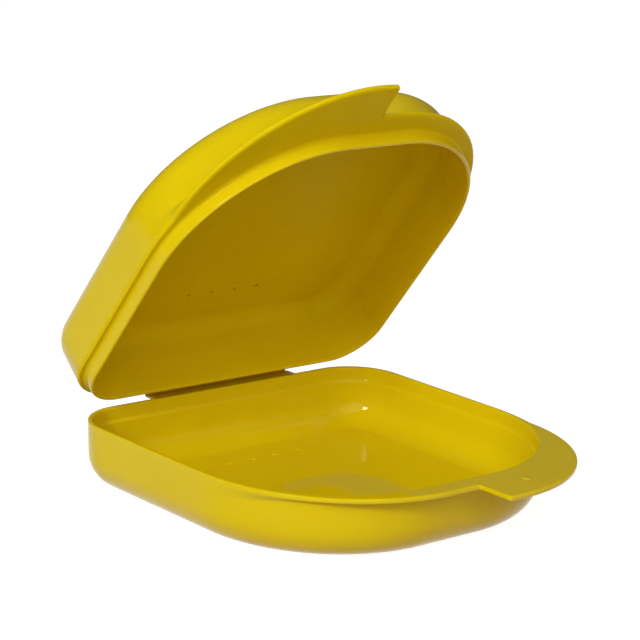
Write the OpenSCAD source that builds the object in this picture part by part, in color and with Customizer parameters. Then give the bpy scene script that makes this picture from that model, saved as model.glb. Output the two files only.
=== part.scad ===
// Hinged denture case: a shallow tray and a matching lid, moulded in one piece of
// polypropylene and joined along the rear edge by a living hinge strap.
// The origin is the middle of the tray's flat underside. +X runs along the hinge,
// the hinge is at +Y, the thumb tabs are at -Y and +Z points up.
// The lid is drawn part open, as it stands when the case is set down.

/* [Case outline] */
// Width of the case across its two sides
body_w = 80; // [72:1:92]
// Depth of the case from hinge edge to front wall
body_d = 76; // [72:1:92]
// Radius of the two corners beside the hinge
rear_r = 11.5; // [9:0.5:16]
// Radius of the two broad front corners
front_r = 32.5; // [26:0.5:35]
// Draft angle of the outer walls, in degrees
draft = 2.8; // [1:0.2:4]

/* [Base tray] */
// Height of the tray from its underside to its rim
base_h = 13.7; // [12:0.1:20]
// Wall thickness of the tray below the recess
base_wall = 1.3; // [1.2:0.1:2]
// Thickness of the tray's floor
base_floor = 1.2; // [1:0.1:2.5]
// Outer fillet between the tray's wall and its underside
base_fillet = 7; // [4:0.5:8]
// Wall thickness of the thinned rim that takes the tongue
rim_wall = 1.1; // [0.8:0.1:1.2]
// Depth of the recess inside the rim
recess_h = 3.1; // [2.8:0.1:4]

/* [Lid] */
// Height of the lid from its rim to its top
lid_h = 13; // [12:0.5:20]
// Thickness of the lid's top
lid_top = 1.2; // [1:0.1:2.5]
// Outer fillet between the lid's wall and its top
lid_fillet = 5.5; // [4:0.5:7]
// Fillet inside the lid, between wall and top
lid_inner_fillet = 4; // [2:0.5:5]
// Draft angle of the lid's inner wall, in degrees
lid_inner_draft = 1; // [0.5:0.1:2]
// Gap left between the two rims when the case is shut
rim_gap = 0.2; // [0.1:0.05:0.5]

/* [Rim tongue] */
// Height of the tongue that stands below the lid's rim
tongue_h = 2.9; // [2:0.1:3]
// Thickness of the tongue
tongue_t = 0.85; // [0.7:0.05:1.2]
// Radius of the hollow fillet where the tongue leaves the rim
tongue_root_r = 0.7; // [0.3:0.05:0.75]
// Clearance between the tongue and the tray's rim wall
tongue_gap = 0.3; // [0.15:0.05:0.4]

/* [Thumb tabs] */
// How far the narrow front flange stands out from the front wall
flange_reach = 3.4; // [2:0.1:5]
// How far each thumb tab stands out from the front wall
tab_reach = 11.7; // [9:0.1:15]
// Thickness of the flange and the tabs
flange_t = 1; // [0.8:0.1:1.6]
// Sideways gap between the ends of the two tabs
tab_split = 0.6; // [0.4:0.1:2]
// Radius of the outer corner at each tab's end
tab_corner_r = 0.6; // [0.4:0.1:2]
// Diameter of the round pip on the tray's tab
pip_d = 2; // [1:0.1:3]
// Height of the pip
pip_h = 0.2; // [0.1:0.05:0.3]

/* [Hinge strap] */
// Length of the strap along the hinge
strap_w = 38; // [30:1:42]
// Sideways offset of the middle of the strap
strap_shift = 1.5; // [-3:0.5:3]
// Thickness of the strap's two leaves
strap_t = 0.6; // [0.5:0.05:0.8]
// Thickness of the folding film between the leaves
film_t = 0.4; // [0.3:0.05:0.5]
// Distance from the rear wall to the fold line
fold_out = 2.8; // [2.6:0.1:4]
// How far the thick root of each leaf stands out from the wall
root_reach = 0.7; // [0.5:0.1:1]
// Thickness of the root of each leaf
root_t = 1.1; // [0.8:0.1:1.6]

/* [Vent holes] */
// Number of vent holes in each row
vent_count = 4; // [2:1:6]
// Diameter of a vent hole
vent_d = 1; // [0.6:0.1:1.6]
// Distance between neighbouring vent holes
vent_pitch = 6.1; // [4:0.1:8]
// Distance of the rows from the rear wall
vent_inset = 13.5; // [10:0.5:20]
// Sideways offset of the middle of the rows
vent_shift = 1.5; // [-4:0.5:4]

/* [Pose] */
// Angle by which the lid stands open, in degrees
open_angle = 52.5; // [0:0.5:180]

/* [Hidden] */
$fn = 96;
case_yellow = [0.84, 0.72, 0.07];
// A cut runs this far past the faces it opens
past = 1;
// A round stands this proud of the straight it runs into, so that the two cross cleanly
proud = 0.005;

half_w = body_w / 2;
rear_y = body_d / 2;
front_y = -body_d / 2;

// The fold line of the hinge lies halfway between the two rims of the shut case
fold_y = rear_y + fold_out;
fold_z = base_h + rim_gap / 2;
// The strap's end on the -X side
strap_start = strap_shift - strap_w / 2;

// Insets from the outline at rim height
tongue_out = rim_wall + tongue_gap;
tongue_in = tongue_out + tongue_t;
base_inner_fillet = base_fillet - base_wall;
lid_cavity_h = lid_h - lid_top;

// The front corners of the flange are a little broader than those of the case
flange_r = front_r + flange_reach / 2;
// The seam where a plate's edge sinks into the wall, as an inset from the outline
plate_seam = rim_wall / 2;
// The tabs' arc is as broad as the flange's corners and stands a little nearer the middle
tab_r = flange_r;
tab_cx = half_w - tab_r - 1.4;
tab_cy = front_y - tab_reach + tab_r;
corner_cx = tab_split / 2 + tab_corner_r - proud;
corner_off = tab_r - tab_corner_r + proud;
corner_cy = tab_cy - sqrt(pow(corner_off, 2) - pow(corner_cx - tab_cx, 2));
pip_x = 10.8;
pip_y = front_y - 5.1;

// Inset of the point where a fillet of radius r meets the flat of the floor or the top
function fillet_end(h, r, angle) = tan(angle) * (h - r) + r / cos(angle);

// Insets where both fillets have ended, so that only flat plate lies further in
base_flat = max(
    fillet_end(base_h, base_fillet, draft),
    base_wall + fillet_end(base_h - base_floor, base_inner_fillet, draft)
);
lid_flat = max(
    fillet_end(lid_h, lid_fillet, draft),
    tongue_in + fillet_end(lid_cavity_h, lid_inner_fillet, lid_inner_draft)
);
// Each wall section runs this far over the plate that closes it
plate_lap = 0.5;
base_reach = base_flat + plate_lap;
lid_reach = lid_flat + plate_lap;

// Section of a drafted wall that rounds into a floor at y = 0. x is the inset from the
// outline at the rim, which is at y = h, and the section is filled up to x = reach.
module dish_section(h, r, angle, reach) {
    end = fillet_end(h, r, angle);
    polygon([
        [0, h],
        [end - r * cos(angle) + proud, r - r * sin(angle)],
        [end, r],
        [end, 0],
        [reach, 0],
        [reach, h]
    ]);
    intersection() {
        translate([end, r]) circle(r = r);
        square([end, h]);
    }
}

// Corner of the case: a section turned a quarter round the point x, y
module sweep_corner(x, y, r, turn) {
    translate([x, y, 0])
        rotate([0, 0, turn])
            rotate_extrude(angle = 90)
                translate([r, 0])
                    mirror([1, 0]) children();
}

// Straight of the case: a section run on for a length from the point x, y
module sweep_straight(x, y, run, turn) {
    translate([x, y, 0])
        rotate([0, 0, turn])
            rotate([90, 0, 90])
                linear_extrude(run)
                    mirror([1, 0]) children();
}

// Runs a wall section once round the outline of the case
module sweep_outline() {
    side_run = body_d - rear_r - front_r;
    sweep_corner(half_w - rear_r, rear_y - rear_r, rear_r, 0) children();
    sweep_corner(rear_r - half_w, rear_y - rear_r, rear_r, 90) children();
    sweep_corner(front_r - half_w, front_y + front_r, front_r, 180) children();
    sweep_corner(half_w - front_r, front_y + front_r, front_r, 270) children();
    sweep_straight(rear_r - half_w, rear_y, body_w - 2 * rear_r, 0) children();
    sweep_straight(half_w, rear_y - rear_r, side_run, -90) children();
    sweep_straight(half_w - front_r, front_y, body_w - 2 * front_r, 180) children();
    sweep_straight(-half_w, front_y + front_r, side_run, 90) children();
}

// The outline of the case, drawn in by an inset
module outline(inset) {
    rear_cx = half_w - rear_r;
    rear_cy = rear_y - rear_r;
    front_cx = half_w - front_r;
    front_cy = front_y + front_r;
    for (side = [-1, 1]) {
        translate([side * rear_cx, rear_cy]) circle(r = rear_r - inset);
        translate([side * front_cx, front_cy]) circle(r = front_r - inset);
    }
    polygon([
        [rear_cx, rear_y - inset],
        [half_w - inset, rear_cy],
        [half_w - inset, front_cy],
        [front_cx, front_y + inset],
        [-front_cx, front_y + inset],
        [inset - half_w, front_cy],
        [inset - half_w, rear_cy],
        [-rear_cx, rear_y - inset]
    ]);
}

// Everything in front of the line where the front corners begin
module front_half() {
    translate([-body_w, front_y + front_r - 2 * body_d])
        square([2 * body_w, 2 * body_d]);
}

// Outline of the narrow flange along the front
module flange_outline() {
    // Drawn in by this much, so that its ends run into the side walls
    run_in = 0.1;
    cx = half_w - flange_r;
    cy = front_y - flange_reach + flange_r;
    for (side = [-1, 1])
        translate([side * cx, cy]) circle(r = flange_r - run_in);
    translate([-cx, front_y - flange_reach + run_in]) square([2 * cx, flange_r]);
}

// Outline of the thumb tab on the +X half, with its outer corner rounded
module tab_outline() {
    // The rounded corner runs into the tab's arc on this line, seen from the arc's centre
    far = [2 * corner_cx - tab_cx, 2 * corner_cy - tab_cy];
    translate([corner_cx, corner_cy]) circle(r = tab_corner_r);
    intersection() {
        translate([tab_cx, tab_cy]) circle(r = tab_r);
        polygon([
            [tab_split / 2, body_d],
            [tab_split / 2, corner_cy],
            [corner_cx, corner_cy],
            far,
            [2 * body_w, far[1]],
            [2 * body_w, body_d]
        ]);
    }
}

// Plate at rim height: the flange with a tab on the side given, as a closed ring segment
module rim_plate(side) {
    linear_extrude(flange_t)
        difference() {
            intersection() {
                union() {
                    flange_outline();
                    mirror([side < 0 ? 1 : 0, 0]) tab_outline();
                }
                front_half();
            }
            outline(plate_seam);
        }
}

// Row of vent holes through a plate that starts at z = 0
module vent_row(thickness) {
    for (i = [0 : vent_count - 1])
        translate([
            vent_shift + (i - (vent_count - 1) / 2) * vent_pitch,
            rear_y - vent_inset,
            -past
        ])
            cylinder(d = vent_d, h = thickness + 2 * past);
}

// Thick root of a hinge leaf on the rear wall, with its flat rim side at z = 0
module leaf_root() {
    sunk = rim_wall / 2;
    translate([strap_start, rear_y - sunk, -root_t])
        cube([strap_w, root_reach + sunk, root_t]);
}

module base_section() {
    difference() {
        dish_section(base_h, base_fillet, draft, base_reach);
        translate([base_wall, base_floor])
            dish_section(base_h - base_floor, base_inner_fillet, draft, base_reach);
        translate([rim_wall, base_h - recess_h]) square([base_reach, recess_h]);
    }
}

module base_tray() {
    color(case_yellow) {
        sweep_outline() base_section();
        difference() {
            linear_extrude(base_floor) outline(base_flat);
            vent_row(base_floor);
        }
        translate([0, 0, base_h - flange_t]) rim_plate(1);
        translate([0, 0, base_h]) leaf_root();
        translate([pip_x, pip_y, base_h - flange_t / 2])
            cylinder(d = pip_d, h = flange_t / 2 + pip_h);
    }
}

// Section of the lid's wall with its tongue. The rim is at y = 0 and the top at y = lid_h.
module lid_section() {
    tip_r = tongue_t / 2;
    // The fillet at the root runs this far into the rim and the tongue
    root_lap = 0.1;
    difference() {
        union() {
            translate([0, lid_h]) mirror([0, 1])
                dish_section(lid_h, lid_fillet, draft, lid_reach);
            translate([tongue_out, tip_r - tongue_h])
                square([tongue_t, tongue_h]);
        }
        translate([tongue_in, lid_cavity_h]) mirror([0, 1])
            dish_section(lid_cavity_h, lid_inner_fillet, lid_inner_draft, lid_reach);
    }
    translate([tongue_out + tip_r, tip_r - tongue_h]) circle(r = tip_r + proud);
    translate([tongue_out - tongue_root_r, -tongue_root_r])
        difference() {
            square(tongue_root_r + root_lap);
            circle(r = tongue_root_r + proud);
        }
}

// The lid with its rim at z = 0
module lid_shell() {
    sweep_outline() lid_section();
    translate([0, 0, lid_cavity_h])
        difference() {
            linear_extrude(lid_top) outline(lid_flat);
            vent_row(lid_top);
        }
    rim_plate(-1);
    mirror([0, 0, 1]) leaf_root();
}

// Turns what rides on the lid open about the fold line, from its place when shut
module opened() {
    translate([0, fold_y, fold_z])
        rotate([-open_angle, 0, 0])
            translate([0, -fold_y, -fold_z]) children();
}

module lid() {
    color(case_yellow)
        opened() translate([0, 0, base_h + rim_gap]) lid_shell();
}

// Section of one leaf, from its root at the wall to the fold line at 0, 0.
// The section's x is +Y of the case and its y is +Z.
module leaf_section() {
    translate([root_reach - fold_out, -strap_t - rim_gap / 2])
        square([fold_out - root_reach, strap_t]);
}

// Section of the film, bent round the fold line from the tray's leaf to the lid's leaf
module film_section() {
    // The film lies this much below the outer face of the leaves
    step = 0.02;
    outer = strap_t + rim_gap / 2 - step;
    // Angle over which each end of the film is sunk in its leaf
    sunk = 20;
    bend = 180 - open_angle + 2 * sunk;
    intersection() {
        difference() {
            circle(r = outer);
            circle(r = outer - film_t);
        }
        polygon([
            [0, 0],
            for (i = [0 : 6])
                let (a = -90 - sunk + bend * i / 6)
                    [2 * outer * cos(a), 2 * outer * sin(a)]
        ]);
    }
}

// Runs a section of the strap along the hinge, about the fold line
module along_fold() {
    translate([strap_start, fold_y, fold_z])
        rotate([90, 0, 90])
            linear_extrude(strap_w) children();
}

module hinge_strap() {
    color(case_yellow) {
        along_fold() leaf_section();
        along_fold() film_section();
        along_fold() rotate(-open_angle) mirror([0, 1]) leaf_section();
    }
}

base_tray();
lid();
hinge_strap();
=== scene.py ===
"""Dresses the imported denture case: a one-piece polypropylene box with a living hinge.

Lengths are in millimetres in the case's own frame until a mesh is made, which is in metres.
The tray stands on z = 0, the hinge is at +Y and the thumb tabs are at -Y. The lid is worked
out shut and then turned open about the fold line.
"""

from __future__ import annotations

import logging
import math
from dataclasses import dataclass, field
from enum import Enum
from typing import Any

import bmesh
import bpy
import numpy as np
from mathutils import Matrix, Vector
from mathutils.geometry import delaunay_2d_cdt

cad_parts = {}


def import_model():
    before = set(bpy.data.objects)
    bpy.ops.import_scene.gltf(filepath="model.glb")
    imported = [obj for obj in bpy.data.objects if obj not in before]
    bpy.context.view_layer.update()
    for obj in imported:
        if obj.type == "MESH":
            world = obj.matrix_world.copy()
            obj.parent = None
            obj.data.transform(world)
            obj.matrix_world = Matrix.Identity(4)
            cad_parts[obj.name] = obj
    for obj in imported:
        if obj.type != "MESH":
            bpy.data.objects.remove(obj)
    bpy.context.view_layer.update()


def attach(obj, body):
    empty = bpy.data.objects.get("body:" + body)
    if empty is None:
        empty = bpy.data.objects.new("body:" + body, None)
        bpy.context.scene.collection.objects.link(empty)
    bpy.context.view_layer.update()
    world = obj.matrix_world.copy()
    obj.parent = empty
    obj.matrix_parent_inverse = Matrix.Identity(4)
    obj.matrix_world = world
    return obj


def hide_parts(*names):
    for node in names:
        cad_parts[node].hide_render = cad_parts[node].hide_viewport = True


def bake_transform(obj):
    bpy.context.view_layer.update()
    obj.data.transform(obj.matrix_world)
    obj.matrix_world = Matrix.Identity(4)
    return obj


Array = np.ndarray
Triple = tuple[float, float, float]
Point = tuple[float, float]
Faces = list[list[int]]
Piece = bpy.types.Object

LOG = logging.getLogger("denture_case")
DULLNESS = "dullness"
MM = 0.001
RIGHT_ANGLE = math.pi / 2
REFRACTION = 1.49
# Runs from a fillet's foot to the two rows in a flat.
FLAT_RUNS = (0.25, 1.2)
# Points closer than the first are merged, and edges shorter than the second dissolved.
MERGE_GAP, SLIVER = 0.002, 0.001


class Body(Enum):
    """Bodies of the frame that a piece can ride on."""

    TRAY = "tray"
    LID = "lid"


class TabSide(Enum):
    """Half of the front edge that carries the thumb tab."""

    RIGHT = 1
    LEFT = -1


# ---------------- camera and light


def put(name: str, data: Any) -> Piece:
    """Makes an object from its data and puts it into the scene."""
    item = bpy.data.objects.new(name, data)
    bpy.context.scene.collection.objects.link(item)
    return item


def direction(azimuth: float, elevation: float) -> Vector:
    """Unit vector away from the case, in degrees from its front towards +X and upwards."""
    az, el = math.radians(azimuth), math.radians(elevation)
    return Vector((math.sin(az) * math.cos(el), -math.cos(az) * math.cos(el), math.sin(el)))


@dataclass(frozen=True)
class Viewpoint:
    """Camera worked out from the photograph's edges, in degrees and millimetres."""

    azimuth: float = -41.055
    elevation: float = 14.187
    roll: float = 2.739
    distance: float = 514.07
    target: Triple = (20.929, 30.792, 27.173)
    focal_px: float = 2386.87
    frame_px: float = 640.0
    sensor: float = 36.0
    clip_near: float = 10.0
    clip_far: float = 20000.0

    def place(self) -> None:
        """Makes the scene's camera.

        The view direction is found from azimuth and elevation, and the picture's axes are
        then turned by the roll.
        """
        az, roll = math.radians(self.azimuth), math.radians(self.roll)
        back = direction(self.azimuth, self.elevation)
        level = Vector((math.cos(az), math.sin(az), 0.0))
        up = back.cross(level)
        right = level * math.cos(roll) + up * math.sin(roll)
        up = up * math.cos(roll) - level * math.sin(roll)
        data = bpy.data.cameras.new("camera")
        data.sensor_fit = "HORIZONTAL"
        data.sensor_width = self.sensor
        data.lens = self.focal_px / self.frame_px * self.sensor
        data.clip_start = self.clip_near * MM
        data.clip_end = self.clip_far * MM
        camera = put("camera", data)
        turn = Matrix((right, up, back)).transposed().to_4x4()
        place = (Vector(self.target) + back * self.distance) * MM
        camera.matrix_world = Matrix.Translation(place) @ turn
        bpy.context.scene.camera = camera


@dataclass(frozen=True)
class SoftBox:
    """One soft box, given by where it stands as seen from the case.

    Its width and height are angles in degrees, and its glow is the brightness of its face,
    where 1 is white. Its distance and the point it is turned to are in metres.
    """

    name: str
    azimuth: float
    elevation: float
    width: float
    height: float
    glow: float
    tint: Triple = (1.0, 1.0, 1.0)
    distance: float = 1.0
    aim: Triple = (0.0, 0.0, 0.03)

    def hang(self) -> None:
        """Makes the lamp, with its face turned to the case.

        A flat lamp of power P and area A has a face of brightness P / (pi A).
        """
        out = direction(self.azimuth, self.elevation)
        data = bpy.data.lights.new(self.name, "AREA")
        data.shape = "RECTANGLE"
        data.size = 2.0 * self.distance * math.tan(math.radians(self.width / 2))
        data.size_y = 2.0 * self.distance * math.tan(math.radians(self.height / 2))
        data.energy = self.glow * math.pi * data.size * data.size_y
        data.color = self.tint
        lamp = put(self.name, data)
        turn = (-out).to_track_quat("-Z", "Y").to_matrix().to_4x4()
        lamp.matrix_world = Matrix.Translation(Vector(self.aim) + out * self.distance) @ turn


@dataclass
class NodeTree:
    """Node tree of a material or of the world, emptied and given an output node."""

    owner: Any
    output: str
    nodes: Any = field(init=False)
    links: Any = field(init=False)
    surface: Any = field(init=False)

    def __post_init__(self) -> None:
        """Clears the tree and adds its output."""
        self.owner.use_nodes = True
        self.nodes, self.links = self.owner.node_tree.nodes, self.owner.node_tree.links
        self.nodes.clear()
        self.surface = self.add(self.output).inputs["Surface"]

    def add(self, kind: str, **values: Any) -> Any:
        """Adds a node and sets inputs by name, with low lines for the spaces in a name."""
        node = self.nodes.new(kind)
        for name, value in values.items():
            node.inputs[name.replace("_", " ")].default_value = value
        return node

    def link(self, *pairs: tuple[Any, Any]) -> None:
        """Links each output to the input it is paired with."""
        for source, target in pairs:
            self.links.new(source, target)


@dataclass(frozen=True)
class Studio:
    """Dim room, soft boxes at the front left and a pale glossy table, as in the product shot."""

    room_low: float = 0.11
    room_high: float = 0.20
    room_tint: Triple = (1.04, 0.90, 0.78)
    key_tint: Triple = (0.94, 1.0, 1.0)
    fill_tint: Triple = (1.0, 0.64, 0.40)
    floor_half: float = 1600.0
    floor_drop: float = 0.02
    floor_glow: float = 0.91
    floor_seen: float = 0.42
    floor_bounce: Triple = (0.60, 0.53, 0.45)
    floor_gloss: float = 0.06

    def light(self) -> None:
        """Sets the colour transform, the world and the lamps."""
        bpy.context.scene.view_settings.view_transform = "Standard"
        self.room()
        for box in (
            SoftBox("key_window", -73.0, 28.0, 13.0, 10.0, 38.0, self.key_tint),
            SoftBox("key_sheet", -60.0, 30.0, 66.0, 50.0, 0.80, self.key_tint),
            SoftBox("front_sheet", -27.0, 34.0, 50.0, 46.0, 0.72),
            SoftBox("front_window", -14.0, 37.0, 7.0, 7.0, 6.0),
            SoftBox("right_sheet", 15.0, 35.0, 40.0, 36.0, 0.38),
            SoftBox("warm_fill", 38.0, 12.0, 44.0, 24.0, 0.50, self.fill_tint),
            SoftBox("side_fill", 80.0, 35.0, 32.0, 32.0, 0.35),
        ):
            box.hang()

    def room(self) -> None:
        """Makes a plain world that grows a little lighter from the horizon upwards."""
        world = bpy.data.worlds.new("dim_room")
        bpy.context.scene.world = world
        tree = NodeTree(world, "ShaderNodeOutputWorld")
        walls = tree.add("ShaderNodeBackground")
        coord = tree.add("ShaderNodeTexCoord")
        split = tree.add("ShaderNodeSeparateXYZ")
        ramp = tree.add("ShaderNodeValToRGB")
        for stop, level in zip(ramp.color_ramp.elements, (self.room_low, self.room_high)):
            stop.color = tuple(level * part for part in self.room_tint) + (1.0,)
        tree.link(
            (coord.outputs["Generated"], split.inputs[0]),
            (split.outputs["Z"], ramp.inputs["Fac"]),
            (ramp.outputs["Color"], walls.inputs["Color"]),
            (walls.outputs[0], tree.surface),
        )

    def floor(self) -> None:
        """Makes the pale table top."""
        half, drop = self.floor_half * MM, -self.floor_drop * MM
        corners = [(x * half, y * half, drop) for x, y in ((-1, -1), (1, -1), (1, 1), (-1, 1))]
        mesh = bpy.data.meshes.new("pale_floor")
        mesh.from_pydata(corners, [], [(0, 1, 2, 3)])
        floor = put("pale_floor", mesh)
        mesh.materials.append(self.table_top())

    def table_top(self) -> bpy.types.Material:
        """Builds the table's material, which shows white and keeps a faint shadow.

        What the camera sees of it, also in gloss, is a white glow over a diffuse sheet and
        a thin mirror sheen. Other light only meets the diffuse sheet.
        """
        mat = bpy.data.materials.new("pale_floor")
        tree = NodeTree(mat, "ShaderNodeOutputMaterial")
        choose = tree.add("ShaderNodeMixShader")
        both = tree.add("ShaderNodeAddShader")
        coat = tree.add("ShaderNodeMixShader")
        fresnel = tree.add("ShaderNodeFresnel", IOR=REFRACTION)
        glow = tree.add("ShaderNodeEmission", Strength=self.floor_glow)
        seen = tree.add("ShaderNodeBsdfDiffuse", Color=(self.floor_seen,) * 3 + (1.0,))
        sheen = tree.add("ShaderNodeBsdfGlossy", Roughness=self.floor_gloss)
        plain = tree.add("ShaderNodeBsdfDiffuse", Color=self.floor_bounce + (1.0,))
        tree.link(
            (fresnel.outputs[0], coat.inputs["Fac"]),
            (seen.outputs[0], coat.inputs[1]),
            (sheen.outputs[0], coat.inputs[2]),
            (glow.outputs[0], both.inputs[0]),
            (coat.outputs[0], both.inputs[1]),
            (self.shown_ray(tree), choose.inputs["Fac"]),
            (plain.outputs[0], choose.inputs[1]),
            (both.outputs[0], choose.inputs[2]),
            (choose.outputs[0], tree.surface),
        )
        return mat

    @staticmethod
    def shown_ray(tree: NodeTree) -> Any:
        """Adds a value that is 1 for what the camera sees, straight or in gloss or glass."""
        path = tree.add("ShaderNodeLightPath")
        value = path.outputs["Is Camera Ray"]
        for name in ("Is Glossy Ray", "Is Transmission Ray"):
            either = tree.add("ShaderNodeMath")
            either.operation = "MAXIMUM"
            tree.link((value, either.inputs[0]), (path.outputs[name], either.inputs[1]))
            value = either.outputs[0]
        return value


# ---------------- finish


@dataclass(frozen=True)
class Cloud:
    """Noise in object space.

    Its size is the width of one cloud in millimetres, its detail the number of finer
    layers and its harshness how strong they are.
    """

    size: float
    detail: float
    harshness: float

    def add(self, tree: NodeTree, coord: Any) -> Any:
        """Adds the noise to a tree, at its coordinates, and returns its value."""
        tex = tree.add(
            "ShaderNodeTexNoise",
            Scale=1.0 / (self.size * MM),
            Detail=self.detail,
            Roughness=self.harshness,
        )
        tree.link((coord, tex.inputs["Vector"]))
        return tex.outputs["Fac"]


@dataclass(frozen=True)
class Polypropylene:
    """Dyed polypropylene from a polished mould: glossy, a little cloudy and warm.

    Each relief is given by its noise, the strength of its bump and its height.
    """

    name: str = "yellow_polypropylene"
    colour: Triple = (0.750, 0.560, 0.003)
    deep: Triple = (0.715, 0.522, 0.002)
    shine: float = 0.28
    shine_tint: Triple = (1.0, 0.93, 0.50)
    dull_shine: float = 0.02
    roughness: float = 0.055
    less_rough: float = 0.02
    more_rough: float = 0.03
    dull_roughness: float = 0.32
    scatter: float = 0.20
    scatter_reach: float = 1.5
    scatter_tint: Triple = (1.0, 0.72, 0.10)
    flow: Cloud = Cloud(26.0, 3.0, 0.55)
    flow_low: float = 0.30
    flow_high: float = 0.70
    haze: Cloud = Cloud(5.0, 4.0, 0.6)
    reliefs: tuple[tuple[Cloud, float, float], ...] = (
        (Cloud(17.0, 1.0, 0.4), 0.15, 0.10),
        (Cloud(0.35, 2.0, 0.5), 0.03, 0.01),
    )

    def make(self) -> bpy.types.Material:
        """Builds the node material."""
        mat = bpy.data.materials.new(self.name)
        tree = NodeTree(mat, "ShaderNodeOutputMaterial")
        skin = tree.add(
            "ShaderNodeBsdfPrincipled",
            IOR=REFRACTION,
            Specular_Tint=self.shine_tint + (1.0,),
            Subsurface_Weight=self.scatter,
            Subsurface_Radius=self.scatter_tint,
            Subsurface_Scale=self.scatter_reach * MM,
        )
        coord = tree.add("ShaderNodeTexCoord").outputs["Object"]
        roughness, shine = self.polish(tree, coord)
        tree.link(
            (skin.outputs[0], tree.surface),
            (self.tone(tree, coord), skin.inputs["Base Color"]),
            (roughness, skin.inputs["Roughness"]),
            (shine, skin.inputs["Specular IOR Level"]),
            (self.relief(tree, coord), skin.inputs["Normal"]),
        )
        return mat

    def tone(self, tree: NodeTree, coord: Any) -> Any:
        """Adds the colour, which drifts between two yellows as flow in the mould does."""
        spread = tree.add("ShaderNodeMapRange", From_Min=self.flow_low, From_Max=self.flow_high)
        tone = tree.add("ShaderNodeMix")
        tone.data_type = "RGBA"
        tone.inputs["A"].default_value = self.deep + (1.0,)
        tone.inputs["B"].default_value = self.colour + (1.0,)
        tree.link(
            (self.flow.add(tree, coord), spread.inputs["Value"]),
            (spread.outputs[0], tone.inputs["Factor"]),
        )
        return tone.outputs["Result"]

    def polish(self, tree: NodeTree, coord: Any) -> tuple[Any, Any]:
        """Adds the roughness and the strength of the gloss.

        Fine noise varies the polish, and each point's mark for dullness lowers it.
        """
        mark = tree.add("ShaderNodeAttribute")
        mark.attribute_name = DULLNESS
        gloss = tree.add(
            "ShaderNodeMapRange",
            To_Min=self.roughness - self.less_rough,
            To_Max=self.roughness + self.more_rough,
        )
        dull = tree.add("ShaderNodeMix", B=self.dull_roughness)
        shine = tree.add("ShaderNodeMapRange", To_Min=self.shine, To_Max=self.dull_shine)
        tree.link(
            (self.haze.add(tree, coord), gloss.inputs["Value"]),
            (mark.outputs["Fac"], dull.inputs["Factor"]),
            (gloss.outputs[0], dull.inputs["A"]),
            (mark.outputs["Fac"], shine.inputs["Value"]),
        )
        return dull.outputs["Result"], shine.outputs[0]

    def relief(self, tree: NodeTree, coord: Any) -> Any:
        """Adds a slow wave and a fine grain, which lift the surface by micrometres."""
        normal = None
        for cloud, strength, height in self.reliefs:
            bump = tree.add("ShaderNodeBump", Strength=strength, Distance=height * MM)
            tree.link((cloud.add(tree, coord), bump.inputs["Height"]))
            if normal is not None:
                tree.link((normal, bump.inputs["Normal"]))
            normal = bump.outputs["Normal"]
        return normal


# ---------------- sizes and plan


@dataclass(frozen=True)
class CasePlan:
    """Sizes of the case's outline, rim plates and hinge, as in the part's source."""

    width: float = 80.0
    depth: float = 76.0
    rear_r: float = 11.5
    front_r: float = 32.5
    draft: float = 2.8
    tray_h: float = 13.7
    rim_gap: float = 0.2
    plate_t: float = 1.0
    flange_reach: float = 3.3
    flange_r: float = 34.1
    flange_x: float = 5.8
    flange_y: float = -7.2
    tab_r: float = 34.2
    tab_x: float = 4.4
    tab_y: float = -15.5
    tab_end: float = 0.3
    tab_corner: float = 0.6
    step_fillet: float = 0.45
    fold_out: float = 2.8
    open_angle: float = 52.5
    vent_x: tuple[float, ...] = (-7.65, -1.55, 4.55, 10.65)
    vent_y: float = 24.5
    vent_r: float = 0.5
    strap_shift: float = 1.5

    @property
    def slope(self) -> float:
        """Inward run of an outer wall for each millimetre away from the rim."""
        return math.tan(math.radians(self.draft))

    @property
    def front(self) -> float:
        """The front wall's place at the rim."""
        return -self.depth / 2

    @property
    def corner_centre(self) -> Point:
        """Centre of the round at the tab's end, which touches the tab's end and its arc."""
        x = self.tab_end + self.tab_corner
        pull = self.tab_r - self.tab_corner
        return x, self.tab_y - math.sqrt(pull**2 - (x - self.tab_x) ** 2)

    @property
    def corner_turn(self) -> float:
        """Direction in degrees in which that round runs into the tab's arc."""
        x, y = self.corner_centre
        return 360.0 + math.degrees(math.atan2(y - self.tab_y, x - self.tab_x))

    @property
    def fold(self) -> Point:
        """The fold line's y and z."""
        return self.depth / 2 + self.fold_out, self.tray_h + self.rim_gap / 2

    def opened(self, points: Array) -> Array:
        """Turns points, whose last axis is x, y, z, from the shut place to the open place."""
        fold_y, fold_z = self.fold
        turn = math.radians(self.open_angle)
        y, z = points[..., 1] - fold_y, points[..., 2] - fold_z
        out = points.copy()
        out[..., 1] = fold_y + y * math.cos(turn) + z * math.sin(turn)
        out[..., 2] = fold_z - y * math.sin(turn) + z * math.cos(turn)
        return out


@dataclass(frozen=True)
class Stations:
    """Number of stations on each run of the outline."""

    rear: int = 20
    rear_round: int = 28
    side: int = 16
    front_round: int = 80
    flange: int = 12
    step: int = 44
    step_fillet: int = 10
    step_corner: int = 14
    tab: int = 10


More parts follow.
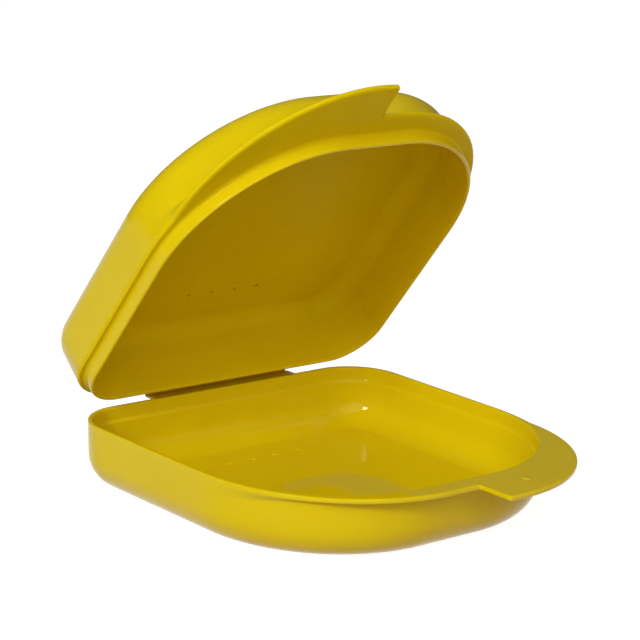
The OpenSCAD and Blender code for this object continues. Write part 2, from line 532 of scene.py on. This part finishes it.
@dataclass
class Outline:
    """Stations round the case: wall points with normals, and the rim plate's edge."""

    plan: CasePlan
    side: TabSide
    counts: Stations = Stations()
    turn_reach: float = 0.3
    past_corner: float = 0.02
    wall: Array = field(init=False)
    normal: Array = field(init=False)
    edge: Array = field(init=False)
    edge_normal: Array = field(init=False)

    def __post_init__(self) -> None:
        """Works the stations out for a tab at +X and mirrors them for one at -X.

        The edge's own normal takes over from the wall's as the plate stands out.
        """
        rear, flange, step, tab, back = self.wall_runs()
        self.wall, self.normal = self.join(rear, flange, step, tab, back)
        reach = self.plate_reach()
        first = len(rear[0]) + len(flange[0])
        last = first + len(step[0])
        edge = self.wall + self.normal * reach[:, None]
        edge[first:last], step_normal = self.step_path()
        tangent = np.roll(edge, -1, axis=0) - np.roll(edge, 1, axis=0)
        outward = np.stack([tangent[:, 1], -tangent[:, 0]], axis=1)
        outward /= np.linalg.norm(outward, axis=1)[:, None]
        outward[first:last] = step_normal
        share = np.clip(reach / self.turn_reach, 0.0, 1.0)[:, None]
        share[first:last] = 1.0
        self.edge = edge
        self.edge_normal = outward * share + self.normal * (1.0 - share)
        if self.side is TabSide.LEFT:
            for points in (self.wall, self.normal, self.edge, self.edge_normal):
                points[:, 0] *= -1.0

    @property
    def stand_out(self) -> Array:
        """How far the plate's edge stands out of the wall at each station."""
        return np.sum((self.edge - self.wall) * self.normal, axis=1)

    def wall_runs(self) -> tuple[tuple[Array, Array], ...]:
        """Splits the wall's outline into runs, anticlockwise from the rear middle.

        Returns:
            Points and normals of the rear and left side, of the flange's front, of the
            step, of the tab's front, and of the right side back to the rear middle.
        """
        p, n = self.plan, self.counts
        half, rear = p.width / 2, p.depth / 2
        corner_run = p.tab_corner * math.cos(math.radians(p.corner_turn))
        step_a = p.tab_end - p.step_fillet
        step_b = p.corner_centre[0] + corner_run + self.past_corner
        front_x = half - p.front_r
        rear_x, rear_y = half - p.rear_r, rear - p.rear_r
        side_y = p.front + p.front_r
        ahead = (0.0, -1.0)
        left = self.join(
            self.line((0.0, rear), (-rear_x, rear), (0.0, 1.0), n.rear),
            self.arc((-rear_x, rear_y), p.rear_r, 90.0, 180.0, n.rear_round),
            self.line((-half, rear_y), (-half, side_y), (-1.0, 0.0), n.side),
            self.arc((-front_x, side_y), p.front_r, 180.0, 270.0, n.front_round),
        )
        flange = self.line((-front_x, p.front), (step_a, p.front), ahead, n.flange)
        step = self.line((step_a, p.front), (step_b, p.front), ahead, n.step)
        tab = self.line((step_b, p.front), (front_x, p.front), ahead, n.tab)
        right = self.join(
            self.arc((front_x, side_y), p.front_r, -90.0, 0.0, n.front_round),
            self.line((half, side_y), (half, rear_y), (1.0, 0.0), n.side),
            self.arc((rear_x, rear_y), p.rear_r, 0.0, 90.0, n.rear_round),
            self.line((rear_x, rear), (0.0, rear), (0.0, 1.0), n.rear),
        )
        return left, flange, step, tab, right

    @staticmethod
    def join(*runs: tuple[Array, Array]) -> tuple[Array, Array]:
        """Puts runs of points and normals end to end."""
        return np.vstack([r[0] for r in runs]), np.vstack([r[1] for r in runs])

    @staticmethod
    def line(start: Point, end: Point, normal: Point, count: int) -> tuple[Array, Array]:
        """Points along a straight, without its end, and its normal at each."""
        t = np.arange(count)[:, None] / count
        points = np.array(start) * (1.0 - t) + np.array(end) * t
        return points, np.tile(np.array(normal), (count, 1))

    @staticmethod
    def arc(
        centre: Point, radius: float, start: float, end: float, count: int
    ) -> tuple[Array, Array]:
        """Points along an arc, without its end, and the outward direction at each."""
        a = np.radians(start + (end - start) * np.arange(count) / count)
        outward = np.stack([np.cos(a), np.sin(a)], axis=1)
        return np.array(centre) + radius * outward, outward

    def ray(self, centre: Point, radius: float) -> Array:
        """Distance from each wall point along its normal to a circle around it."""
        gap = self.wall - np.array(centre)
        along = np.sum(gap * self.normal, axis=1)
        return -along + np.sqrt(np.maximum(along**2 - np.sum(gap**2, axis=1) + radius**2, 0.0))

    def plate_reach(self) -> Array:
        """How far the flange or the tab stands out along each wall normal.

        Both are circles, apart from the flange's straight middle. The tab only counts on
        its own half, and behind the corners' centres there is no plate.
        """
        p = self.plan
        x, y = self.wall[:, 0], self.wall[:, 1]
        left = self.ray((-p.flange_x, p.flange_y), p.flange_r)
        right = self.ray((p.flange_x, p.flange_y), p.flange_r)
        flange = np.where(x < 0.0, left, right)
        middle = (np.abs(x) < p.flange_x) & (y < 0.0)
        flange = np.where(middle, p.flange_reach, flange)
        tab = self.ray((p.tab_x, p.tab_y), p.tab_r)
        reach = np.where(x > p.tab_end, np.maximum(flange, tab), flange)
        ahead = y < p.front + p.front_r
        return np.where(ahead, np.maximum(reach, 0.0), 0.0)

    def step_path(self) -> tuple[Array, Array]:
        """The plate's edge from the flange round the tab's end to the tab's arc.

        A small fillet, the straight end of the tab and its rounded corner follow each
        other, with the step's stations shared out between them.

        Returns:
            Points of the edge and outward normals.
        """
        p, n = self.plan, self.counts
        flange_y = p.front - p.flange_reach
        corner_x, corner_y = p.corner_centre
        hollow = (p.tab_end - p.step_fillet, flange_y - p.step_fillet)
        top, bottom = (p.tab_end, hollow[1]), (p.tab_end, corner_y)
        face_count = n.step - n.step_fillet - n.step_corner
        points, inward = self.arc(hollow, p.step_fillet, 90.0, 0.0, n.step_fillet)
        return self.join(
            (points, -inward),
            self.line(top, bottom, (-1.0, 0.0), face_count),
            self.arc((corner_x, corner_y), p.tab_corner, 180.0, p.corner_turn, n.step_corner),
        )


# ---------------- shared shapes


def smooth_step(t: Array) -> Array:
    """Smooth step from 0 to 1 of each value."""
    t = np.clip(t, 0.0, 1.0)
    return t * t * (3.0 - 2.0 * t)


def round_corner(a: Point, b: Point, c: Point, radius: float, count: int) -> Array:
    """Rounds the corner b of the path a, b, c.

    The round's centre lies on the bisector, at the radius over the sine of half the
    corner's angle.

    Args:
        a: Point before the corner, as inset and depth.
        b: The corner.
        c: Point after the corner.
        radius: Radius of the round.
        count: Number of points along it.

    Returns:
        Points of the round, from the side of a to the side of c.
    """
    before, corner, after = (np.array(point, float) for point in (a, b, c))
    u = (before - corner) / np.linalg.norm(before - corner)
    v = (after - corner) / np.linalg.norm(after - corner)
    half = math.acos(float(np.clip(u @ v, -1.0, 1.0))) / 2
    middle = (u + v) / np.linalg.norm(u + v)
    centre = corner + middle * radius / math.sin(half)
    start = corner + u * radius / math.tan(half) - centre
    end = corner + v * radius / math.tan(half) - centre
    t = np.linspace(0.0, 1.0, count)[:, None]
    sweep = math.pi - 2 * half
    arc = (np.sin((1 - t) * sweep) * start + np.sin(t * sweep) * end) / math.sin(sweep)
    return centre + arc


def with_supports(path: Array, near: float = 0.06, long_run: float = 0.30) -> Array:
    """Adds a point near both ends of every straight of a path longer than long_run."""
    rows: list[Array] = [path[0]]
    for start, end in zip(path[:-1], path[1:]):
        run = float(np.linalg.norm(end - start))
        if run > long_run:
            step = (end - start) * near / run
            rows += [start + step, end - step]
        rows.append(end)
    return np.array(rows)


def bowl(
    upper: Array, inset: float, draft: float, bottom: float, radius: float, count: int
) -> Array:
    """Path of an inner face: its upper part, drafted wall, fillet and start of the flat.

    Args:
        upper: Path above the wall, as inset and depth.
        inset: The wall's inset at the rim plane.
        draft: Its draft in radians.
        bottom: Depth of the flat.
        radius: Radius of the fillet.
        count: Number of points along the fillet.

    Returns:
        The whole path.
    """
    centre = inset + math.tan(draft) * (bottom - radius) + radius / math.cos(draft)
    end = [[centre - radius * math.cos(draft), bottom - radius + radius * math.sin(draft)]]
    turn = np.linspace(draft, RIGHT_ANGLE, count)[1:]
    fillet = [centre - radius * np.cos(turn), bottom - radius + radius * np.sin(turn)]
    flat = [[centre + run, bottom] for run in FLAT_RUNS]
    return np.vstack([with_supports(np.vstack([upper, end])), np.stack(fillet, axis=1), flat])


def circles(x: float, y: float, radii: Array, levels: Array, count: int) -> Array:
    """Level circles about an upright axis, as an array of circles, points and x, y, z."""
    a = np.linspace(0.0, 2.0 * math.pi, count, endpoint=False)
    height = np.repeat(levels[:, None], count, axis=1)
    return np.stack([x + radii[:, None] * np.cos(a), y + radii[:, None] * np.sin(a), height], -1)


def ring_quads(index: Array) -> Array:
    """Quads between closed rows of points, given by an array of rows and indices."""
    ahead = np.roll(index, -1, axis=1)
    quads = np.stack([index[:-1], ahead[:-1], ahead[1:], index[1:]], axis=-1)
    return quads.reshape(-1, 4)


# ---------------- shells


@dataclass
class Shell:
    """A moulded half: rows of points round the outline, closed by two flat plates.

    Depth is measured from the rim plane into the half, so that the tray and the lid share
    one set of formulas.
    """

    plan: CasePlan
    outline: Outline
    height: float
    fillet: float
    edge_top: float = 0.35
    edge_width: float = 0.50
    flare_start: float = 0.15
    flare_run: float = 1.6
    flare_depth: float = 3.4
    flare_lead: float = 0.2
    edge_low: float = 0.25
    edge_bare: float = 0.32
    edge_step: float = 0.35
    edge_growth: float = 0.5
    past_step: float = 2.0
    root_fillet: float = 0.45
    root_reach: float = 1.2
    lead: float = 0.12
    least_edge: float = 0.004
    vent_round: float = 0.16
    vent_margins: Point = (0.5, 0.22)
    vent_count: int = 32
    rows: list[Array] = field(default_factory=list)
    outer_rows: int = 0

    def add_rings(self, path: Array) -> None:
        """Adds a row for each inset from the outline and depth of a path."""
        for inset, depth in path:
            flat = self.outline.wall - self.outline.normal * float(inset)
            self.rows.append(self.row(flat, float(depth)))

    @staticmethod
    def row(flat: Array, depth: Array | float) -> Array:
        """Joins x and y of a row's points with one depth or with a depth for each."""
        return np.column_stack([flat, np.broadcast_to(depth, len(flat))])

    def build(
        self, face_end: float, inside: Array, thickness: float, dull: Point
    ) -> tuple[Array, Faces, Array]:
        """Joins the outer face, the rim and the inner face and closes the flats.

        Args:
            face_end: Inset at which the rim face ends.
            inside: Path of the inner face, as inset and depth.
            thickness: Thickness of the flat plate.
            dull: Dullness of the outside up to the plate's top edge, and of all the rest.

        Returns:
            Points with depth as their third value, faces, and the dullness of each point.
        """
        self.outer_wall()
        self.rim_plate()
        self.rim_face(face_end)
        self.add_rings(inside)
        cloud, faces = self.mesh_arrays(thickness)
        mark = np.full(len(cloud), dull[1])
        mark[: self.outer_rows * len(self.outline.wall)] = dull[0]
        return cloud, faces, mark

    def outer_wall(self) -> None:
        """Adds the outer face: flat plate, fillet and drafted wall up to the rim plate."""
        slope, r, h = self.plan.slope, self.fillet, self.height
        draft = math.radians(self.plan.draft)
        centre = slope * (h - r) + r / math.cos(draft)
        flat = [[centre + run, h] for run in FLAT_RUNS[::-1]]
        turn = np.linspace(RIGHT_ANGLE, draft, 20)
        fillet = np.stack([centre - r * np.cos(turn), h - r + r * np.sin(turn)], axis=1)
        wall_end = h - r + r * math.sin(draft)
        depths = np.linspace(wall_end, self.flare_depth + self.flare_lead, 4)[1:]
        self.add_rings(np.vstack([flat, fillet, np.stack([slope * depths, depths], axis=1)]))

    def rim_plate(self) -> None:
        """Adds the plate that stands out of the rim.

        Where it stands well out, its underside is flat between a fillet and a rounded
        edge. Where its reach is small this gives way to one smooth flare of the wall.
        """
        out = self.outline
        reach = out.stand_out
        grow = smooth_step((reach - self.flare_start) / self.flare_run)
        lean = self.plan.slope * (1.0 - grow)
        under = self.plate_underside(reach, lean)
        flare = self.wall_flare(under[-1], len(under))
        self.rows += list(flare + (under - flare) * grow[:, None])
        self.outer_rows = len(self.rows)
        width = self.edge_widths()
        for a in np.linspace(0.0, RIGHT_ANGLE, 10):
            depth = self.edge_top * (1.0 - math.sin(a))
            flat = out.edge - out.edge_normal * (width * (1.0 - math.cos(a)))[:, None]
            self.rows.append(self.row(flat - out.normal * (lean * depth)[:, None], depth))

    def edge_widths(self) -> Array:
        """Width of the round on the plate's top edge.

        It is narrow on the bare wall and round the tab's end, where the edge turns sharply.
        """
        out, plan = self.outline, self.plan
        x = out.wall[:, 0] * out.side.value
        before = plan.tab_end - plan.step_fillet - x
        beside = np.maximum(before, x - plan.tab_end - self.past_step)
        near_step = self.edge_step + self.edge_growth * np.maximum(beside, 0.0)
        near_step = np.where(out.wall[:, 1] < 0.0, near_step, math.inf)
        width = np.clip(self.edge_bare + out.stand_out, self.edge_bare, self.edge_width)
        return np.minimum(width, near_step)

    def plate_underside(self, reach: Array, lean: Array) -> Array:
        """Rows of the plate's fillet, its flat underside and its rounded lower edge.

        The reach is how far the plate stands out at each station, the lean its draft there.
        """
        out, t, slope = self.outline, self.plan.plate_t, self.plan.slope
        fillet = self.root_fillet * np.clip(reach / self.root_reach, 0.0, 1.0)
        start = t + fillet
        wall_in = -slope * start
        flat = out.wall + out.normal * (wall_in - slope * self.lead)[:, None]
        rows = [self.row(flat, start + self.lead)]
        for a in np.linspace(0.0, RIGHT_ANGLE, 6):
            flat = out.wall + out.normal * (wall_in + fillet * (1.0 - math.cos(a)))[:, None]
            rows.append(self.row(flat, start - fillet * math.sin(a)))
        root = flat
        room = reach - lean * t - wall_in - fillet
        low = np.minimum(self.edge_low, np.maximum(room, self.least_edge))
        ledge = out.edge - out.edge_normal * low[:, None] - out.normal * (lean * t)[:, None]
        rows += [self.row(root * (1.0 - share) + ledge * share, t) for share in (0.04, 0.5, 0.96)]
        for a in np.linspace(0.0, RIGHT_ANGLE, 5):
            rise = low * (1.0 - math.cos(a))
            flat = ledge + out.edge_normal * (low * math.sin(a))[:, None]
            rows.append(self.row(flat + out.normal * (lean * rise)[:, None], t - rise))
        return np.stack(rows)

    def wall_flare(self, end: Array, count: int) -> Array:
        """Rows that lead smoothly from the drafted wall to the plate's edge, the row given."""
        out, slope = self.outline, self.plan.slope
        share = np.linspace(0.0, 1.0, count)[:, None]
        depth = self.flare_depth * (1.0 - share) + end[:, 2] * share
        wall = out.wall[None] - out.normal[None] * (slope * depth)[..., None]
        last = end[:, :2] - (out.wall - out.normal * (slope * end[:, 2])[:, None])
        flat = wall + last[None] * smooth_step(share)[..., None]
        return np.concatenate([flat, depth[..., None]], axis=-1)

    def rim_face(self, inset: float) -> None:
        """Adds the flat rim face, from the plate's edge in to an inset from the outline."""
        out = self.outline
        outer = out.edge - out.edge_normal * self.edge_widths()[:, None]
        inner = out.wall - out.normal * inset
        for share in (0.03, 0.35, 0.68, 0.97):
            self.rows.append(self.row(outer * (1.0 - share) + inner * share, 0.0))

    def mesh_arrays(self, thickness: float) -> tuple[Array, Faces]:
        """Joins the rows into quads and closes the two flats, with the vents through them.

        The first row bounds the outer flat, and the last row the inner one.
        """
        grid = np.stack(self.rows)
        count, n = grid.shape[:2]
        index = np.arange(count * n).reshape(count, n)
        points = [grid.reshape(-1, 3)]
        faces = ring_quads(index).tolist()
        total = count * n
        rings: list[Array] = []
        for x in self.plan.vent_x:
            vent, vent_faces, mouths = self.vent(x, thickness, total)
            points.append(vent)
            faces += vent_faces
            rings.append(mouths)
            total += len(vent)
        cloud = np.vstack(points)
        for edge, pick in ((index[0], 0), (index[-1], 1)):
            faces += self.flat_plate(cloud, edge, [mouths[pick] for mouths in rings])
        return cloud, faces

    def vent(
        self, x: float, thickness: float, first: int
    ) -> tuple[Array, Faces, Array]:
        """Rows of one vent hole, with a rounded mouth on each side.

        Args:
            x: Place of the hole.
            thickness: Thickness of the plate.
            first: Index of the first new point.

        Returns:
            Points, faces, and the indices of the outer and the inner mouth.
        """
        p, n, soft = self.plan, self.vent_count, self.vent_round
        turn = np.linspace(0.0, RIGHT_ANGLE, 5)
        margins = [p.vent_r + margin for margin in self.vent_margins]
        radii = np.concatenate([margins, p.vent_r + soft * (1.0 - np.sin(turn))])
        sunk = np.concatenate([[0.0, 0.0], soft * (1.0 - np.cos(turn))])
        radii = np.concatenate([radii, radii[::-1]])
        depth = np.concatenate([self.height - sunk, self.height - thickness + sunk[::-1]])
        points = circles(x, p.vent_y, radii, depth, n).reshape(-1, 3)
        index = first + np.arange(len(radii) * n).reshape(len(radii), n)
        inward = ring_quads(index)[:, [0, 3, 2, 1]]
        return points, inward.tolist(), index[[0, -1]]

    @staticmethod
    def flat_plate(cloud: Array, edge: Array, mouths: list[Array]) -> Faces:
        """Fills a flat between its outer edge and the vents' mouths with triangles.

        Args:
            cloud: All points.
            edge: Indices of the outer edge.
            mouths: Indices of each mouth.

        Returns:
            Triangles as lists of indices.
        """
        near = 1e-5
        loops = [edge, *mouths]
        where = np.concatenate(loops)
        ends = np.cumsum([len(loop) for loop in loops])[:-1]
        numbers = np.split(np.arange(len(where)), ends)
        links = np.vstack([np.stack([own, np.roll(own, -1)], 1) for own in numbers]).tolist()
        flat = [Vector(p) for p in cloud[where, :2]]
        _, _, tris, origin, _, _ = delaunay_2d_cdt(flat, links, [], 1, near)
        source = np.array([o[0] for o in origin])
        tri = where[source[np.array(tris)]]
        middle = cloud[tri, :2].mean(axis=1)
        keep = np.ones(len(tri), bool)
        for mouth in mouths:
            centre = cloud[mouth, :2].mean(axis=0)
            radius = np.linalg.norm(cloud[mouth[0], :2] - centre)
            keep &= np.linalg.norm(middle - centre, axis=1) > radius
        return tri[keep].tolist()


@dataclass
class Tray:
    """The lower half, with a thinned rim, a ledge inside it and the right-hand tab."""

    plan: CasePlan
    fillet: float = 7.0
    wall: float = 1.3
    floor: float = 1.2
    rim_wall: float = 1.1
    recess: float = 3.1
    mouth_round: float = 0.48
    mouth_lead: float = 0.02
    ledge_top: float = 2.6
    ledge_end: float = 3.4
    pip_x: float = 10.8
    pip_y: float = -43.1
    pip_r: float = 1.0
    pip_h: float = 0.2
    pip_sunk: float = 0.4
    pip_count: int = 40
    dull: Point = (0.45, 0.0)

    def build(self) -> Piece:
        """Makes the tray's shell."""
        p = self.plan
        shell = Shell(p, Outline(p, TabSide.RIGHT), p.tray_h, self.fillet)
        face_end = self.rim_wall - self.mouth_round - self.mouth_lead
        cloud, faces, dull = shell.build(face_end, self.inside(), self.floor, self.dull)
        cloud[:, 2] = p.tray_h - cloud[:, 2]
        return make_piece("tray_shell", cloud, faces, dull)

    def inside(self) -> Array:
        """Path of the inner face: rim wall, ledge, drafted wall, fillet and floor."""
        slope, draft = self.plan.slope, math.radians(self.plan.draft)
        bottom = self.plan.tray_h - self.floor
        mouth, rim_foot = (self.rim_wall, 0.0), (self.rim_wall, self.recess)
        down = np.linspace(self.ledge_top, self.ledge_end, 12)
        step = smooth_step((down - self.ledge_top) / (self.ledge_end - self.ledge_top))
        ledge = self.rim_wall + (self.wall + slope * down - self.rim_wall) * step
        edge = round_corner((0.0, 0.0), mouth, rim_foot, self.mouth_round, 8)
        upper = np.vstack([edge, np.stack([ledge, down], axis=1)])
        return bowl(upper, self.wall, draft, bottom, self.fillet - self.wall, 20)

    def pip(self) -> Piece:
        """Makes the low round pip on the tab's top, a flattened dome sunk in the plate."""
        n, level = self.pip_count, self.plan.tray_h
        t = np.linspace(0.0, RIGHT_ANGLE, 8)[:-1]
        radii = np.concatenate([[self.pip_r], self.pip_r * np.cos(t)])
        heights = np.concatenate([[-self.pip_sunk], self.pip_h * np.sin(t)])
        grid = circles(self.pip_x, self.pip_y, radii, level + heights, n)
        index = np.arange(len(radii) * n).reshape(len(radii), n)
        faces = ring_quads(index).tolist() + [index[0][::-1].tolist()]
        tip = len(radii) * n
        faces += [[int(i), int(j), tip] for i, j in zip(index[-1], np.roll(index[-1], -1))]
        top = np.array([[self.pip_x, self.pip_y, level + self.pip_h]])
        return make_piece("tab_pip", np.vstack([grid.reshape(-1, 3), top]), faces)


@dataclass
class Lid:
    """The upper half, with a rounded tongue inside its rim and the left-hand tab."""

    plan: CasePlan
    height: float = 13.0
    fillet: float = 5.5
    top: float = 1.2
    inner_fillet: float = 4.0
    inner_draft: float = 1.0
    tongue_out: float = 1.4
    tongue_t: float = 0.85
    tongue_h: float = 2.9
    tongue_root: float = 0.75
    tongue_lead: float = 0.05
    edge_top: float = 0.50
    edge_width: float = 1.00
    flare_start: float = 0.3
    flare_run: float = 3.0
    dull: Point = (0.45, 1.0)
    tongue_dull: float = 0.35
    tongue_from: float = 0.6

    def build(self) -> Piece:
        """Makes the lid's shell and turns it open."""
        p = self.plan
        outline = Outline(p, TabSide.LEFT)
        edge = (self.edge_top, self.edge_width, self.flare_start, self.flare_run)
        shell = Shell(p, outline, self.height, self.fillet, *edge)
        face_end = self.tongue_out - self.tongue_root - self.tongue_lead
        cloud, faces, dull = shell.build(face_end, self.inside(), self.top, self.dull)
        dull[cloud[:, 2] < -self.tongue_from] = self.tongue_dull
        cloud[:, 2] = p.tray_h + p.rim_gap + cloud[:, 2]
        return make_piece("lid_shell", p.opened(cloud), faces, dull)

    def inside(self) -> Array:
        """Path of the tongue, with its hollow root and round tip, and of the inner face."""
        out, tip, tall = self.tongue_out, self.tongue_t / 2, self.tongue_h
        draft, bottom = math.radians(self.inner_draft), self.height - self.top
        hollow = round_corner((0.0, 0.0), (out, 0.0), (out, -tall), self.tongue_root, 10)
        turn = np.linspace(math.pi, 0.0, 13)
        crown = np.stack([out + tip + tip * np.cos(turn), tip - tall - tip * np.sin(turn)], 1)
        upper = np.vstack([hollow, crown])
        return bowl(upper, out + self.tongue_t, draft, bottom, self.inner_fillet, 16)


@dataclass
class HingeStrap:
    """The strap: a leaf from each half, joined by a thin film that bends."""

    plan: CasePlan
    length: float = 38.0
    leaf_t: float = 0.6
    film_t: float = 0.4
    root_t: float = 1.1
    sunk: float = 0.6
    root_start: float = 1.1
    root_run: float = 0.8
    thin_run: float = 0.55
    end_round: float = 0.16
    end_share: float = 0.5
    count: int = 40
    long_count: int = 30

    def section(self) -> tuple[Array, Array]:
        """Inner and outer line of the strap's section, as y and z about the fold line.

        On each leaf the section is a straight band that thickens to its root with a smooth
        step, and between the leaves it is an arc about the fold line.
        """
        p = self.plan
        half_gap = p.rim_gap / 2
        run = np.linspace(-(p.fold_out + self.sunk), 0.0, self.count)
        root = smooth_step((-run - (p.fold_out - self.root_start)) / self.root_run)
        thin = smooth_step((run + self.thin_run) / self.thin_run)
        outer_leaf = -(half_gap + self.leaf_t + (self.root_t - self.leaf_t) * root)
        inner_leaf = -(half_gap + (self.leaf_t - self.film_t) * thin)
        bend = math.radians(180.0 - p.open_angle)
        angle = -RIGHT_ANGLE + np.linspace(0.0, bend, self.count)[1:-1]
        outer_r = half_gap + self.leaf_t
        arc = np.stack([np.cos(angle), np.sin(angle)], axis=1)
        lines = []
        for leaf, radius in ((inner_leaf, outer_r - self.film_t), (outer_leaf, outer_r)):
            tray_leaf = np.stack([run, leaf], axis=1)
            lines.append(np.vstack([tray_leaf, arc * radius, self.to_lid(tray_leaf)[::-1]]))
        return lines[0], lines[1]

    def to_lid(self, points: Array) -> Array:
        """Mirrors a leaf's section to the lid's side and turns it open."""
        turn = math.radians(self.plan.open_angle)
        y, z = points[:, 0], -points[:, 1]
        turned = [y * math.cos(turn) + z * math.sin(turn), -y * math.sin(turn) + z * math.cos(turn)]
        return np.stack(turned, axis=1)

    def build(self) -> Piece:
        """Makes the strap: its section run along the hinge, with rounded ends."""
        inner, outer = self.section()
        middle, swell = (inner + outer) / 2, (outer - inner) / 2
        turn = np.linspace(0.0, RIGHT_ANGLE, 5)
        straight = self.length / 2 - self.end_round
        ends = straight + self.end_round * np.sin(turn)
        scale = 1.0 - self.end_share * (1.0 - np.cos(turn))
        plain = np.linspace(-straight, straight, self.long_count)[1:-1]
        x = np.concatenate([-ends[::-1], plain, ends]) + self.plan.strap_shift
        share = np.concatenate([scale[::-1], np.ones(len(plain)), scale])
        loop_mid = np.vstack([middle, middle[::-1]])
        loop_off = np.vstack([-swell, swell[::-1]])
        n = len(loop_mid)
        yz = loop_mid[None] + loop_off[None] * share[:, None, None]
        grid = np.concatenate([np.repeat(x[:, None, None], n, axis=1), yz], axis=-1)
        grid[..., 1:] += self.plan.fold
        index = np.arange(len(x) * n).reshape(len(x), n)
        k = np.arange(n // 2 - 1)
        faces = ring_quads(index).tolist()
        for end in (index[0], index[-1]):
            cap = np.stack([end[k], end[k + 1], end[n - 2 - k], end[n - 1 - k]], axis=-1)
            faces += cap.tolist()
        return make_piece("fold_strap", grid.reshape(-1, 3), faces)


def make_piece(
    name: str, cloud: Array, faces: Faces, dull: Array | None = None
) -> Piece:
    """Makes a closed smooth mesh in metres, with its faces turned outwards.

    Points that fall together are merged, which closes the places where the rim plate
    shrinks to nothing.

    Args:
        name: The piece's name.
        cloud: Points in millimetres.
        faces: Faces as lists of indices.
        dull: Dullness of each point, from 0 for polished to 1 for dull.

    Returns:
        The new object, with its place in its mesh.
    """
    mesh = bpy.data.meshes.new(name)
    mesh.from_pydata((cloud * MM).tolist(), [], faces)
    polish = mesh.attributes.new(DULLNESS, "FLOAT", "POINT")
    polish.data.foreach_set("value", np.zeros(len(cloud)) if dull is None else dull)
    work = bmesh.new()
    work.from_mesh(mesh)
    bmesh.ops.remove_doubles(work, verts=work.verts, dist=MERGE_GAP * MM)
    bmesh.ops.dissolve_degenerate(work, edges=work.edges, dist=SLIVER * MM)
    bmesh.ops.recalc_face_normals(work, faces=work.faces)
    loose = sum(1 for edge in work.edges if not edge.is_manifold)
    volume = work.calc_volume() / MM**3
    work.to_mesh(mesh)
    work.free()
    mesh.polygons.foreach_set("use_smooth", np.ones(len(mesh.polygons), bool))
    mesh.update()
    LOG.info("%s: %d faces, %d open edges, %.1f mm3", name, len(mesh.polygons), loose, volume)
    return put(name, mesh)


# ---------------- assembly


@dataclass
class DentureCase:
    """The whole case: both halves and the strap, dressed, with the tray, the pip and the lid tied
    to the frame.
    """

    plan: CasePlan = field(default_factory=CasePlan)
    finish: Polypropylene = field(default_factory=Polypropylene)
    bend_reach: float = 0.4

    def assemble(self) -> None:
        """Builds every piece, gives it its finish and ties the tray, the pip and the lid to their
        bodies.
        """
        material = self.finish.make()
        tray_maker = Tray(self.plan)
        tray = tray_maker.build()
        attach(tray, Body.TRAY.value)
        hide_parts("base_tray")
        pip = tray_maker.pip()
        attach(pip, Body.TRAY.value)
        lid = Lid(self.plan).build()
        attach(lid, Body.LID.value)
        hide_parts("lid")
        strap = HingeStrap(self.plan).build()
        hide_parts("hinge_strap")
        self.tie_strap(strap)
        for piece in (tray, pip, lid, strap):
            piece.data.materials.append(material)

    def tie_strap(self, strap: Piece) -> None:
        """Bakes the strap's placement into its mesh."""
        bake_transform(strap)


def main() -> None:
    """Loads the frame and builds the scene."""
    logging.basicConfig(level=logging.INFO, format="%(name)s: %(message)s")
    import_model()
    Viewpoint().place()
    studio = Studio()
    studio.light()
    studio.floor()
    DentureCase().assemble()


if __name__ == "__main__":
    main()
